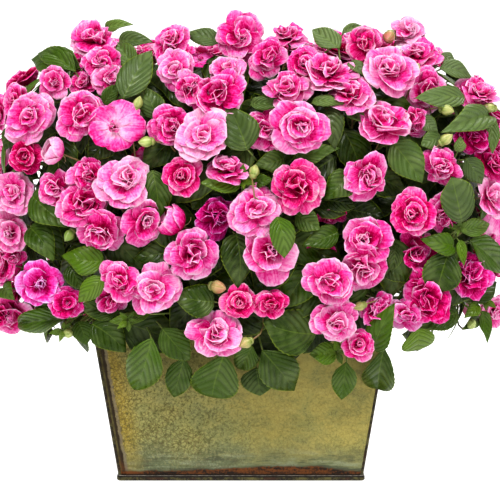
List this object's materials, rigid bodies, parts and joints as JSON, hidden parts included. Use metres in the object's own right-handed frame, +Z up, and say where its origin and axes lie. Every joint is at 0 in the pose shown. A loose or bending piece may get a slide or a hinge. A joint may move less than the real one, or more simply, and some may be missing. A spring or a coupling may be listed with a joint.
{
  "type": "busy lizzie in a metal planter",
  "caption": "Bushy double-flowered busy lizzie with pink rosette blooms over serrated green leaves, growing in a flared oblong sheet-metal planter.",
  "frame": {"origin": "Middle of the planter's underside, on the surface it stands on.", "axes": "+Z is up, +X runs along the planter's long side to the viewer's right, and -Y is the front."},
  "size_m": [0.5092, 0.4256, 0.4512],
  "materials": {
    "patinated_metal": "olive and gold patina, satin, with rust along the lower edge",
    "potting_mix": "dark, coarse compost of bark and peat",
    "leaf": "dark green, satin, with pale veins and fleshy green stems",
    "petal": "soft pink, deeper in the folds and paler at the edges"
  },
  "bodies": {
    "root": {"back_panel": "patinated_metal", "base_bead": "patinated_metal", "base_panel": "patinated_metal", "bloom_spray_01": "petal", "bloom_spray_02": "petal", "bloom_spray_03": "petal", "bloom_spray_04": "petal", "bloom_spray_05": "petal", "bloom_spray_06": "petal", "bloom_spray_07": "petal", "bloom_spray_08": "petal", "bloom_spray_09": "petal", "bloom_spray_10": "petal", "bloom_spray_11": "petal", "bloom_spray_12": "petal", "bloom_spray_13": "petal", "bloom_spray_14": "petal", "bloom_spray_15": "petal", "bloom_spray_16": "petal", "bloom_spray_17": "petal", "bloom_spray_18": "petal", "bloom_spray_19": "petal", "bloom_spray_20": "petal", "bloom_spray_21": "petal", "bloom_spray_22": "petal", "bloom_spray_23": "petal", "bloom_spray_24": "petal", "corner_seam_back_left": "patinated_metal", "corner_seam_back_right": "patinated_metal", "corner_seam_front_left": "patinated_metal", "corner_seam_front_right": "patinated_metal", "front_panel": "patinated_metal", "leafy_shoot_01": "leaf", "leafy_shoot_02": "leaf", "leafy_shoot_03": "leaf", "leafy_shoot_04": "leaf", "leafy_shoot_05": "leaf", "leafy_shoot_06": "leaf", "leafy_shoot_07": "leaf", "leafy_shoot_08": "leaf", "leafy_shoot_09": "leaf", "leafy_shoot_10": "leaf", "leafy_shoot_11": "leaf", "leafy_shoot_12": "leaf", "leafy_shoot_13": "leaf", "leafy_shoot_14": "leaf", "leafy_shoot_15": "leaf", "leafy_shoot_16": "leaf", "leafy_shoot_17": "leaf", "leafy_shoot_18": "leaf", "leafy_shoot_19": "leaf", "leafy_shoot_20": "leaf", "leafy_shoot_21": "leaf", "leafy_shoot_22": "leaf", "leafy_shoot_23": "leaf", "leafy_shoot_24": "leaf", "left_panel": "patinated_metal", "potting_mix": "potting_mix", "right_panel": "patinated_metal", "rim_roll": "patinated_metal"}
  },
  "joints": []
}
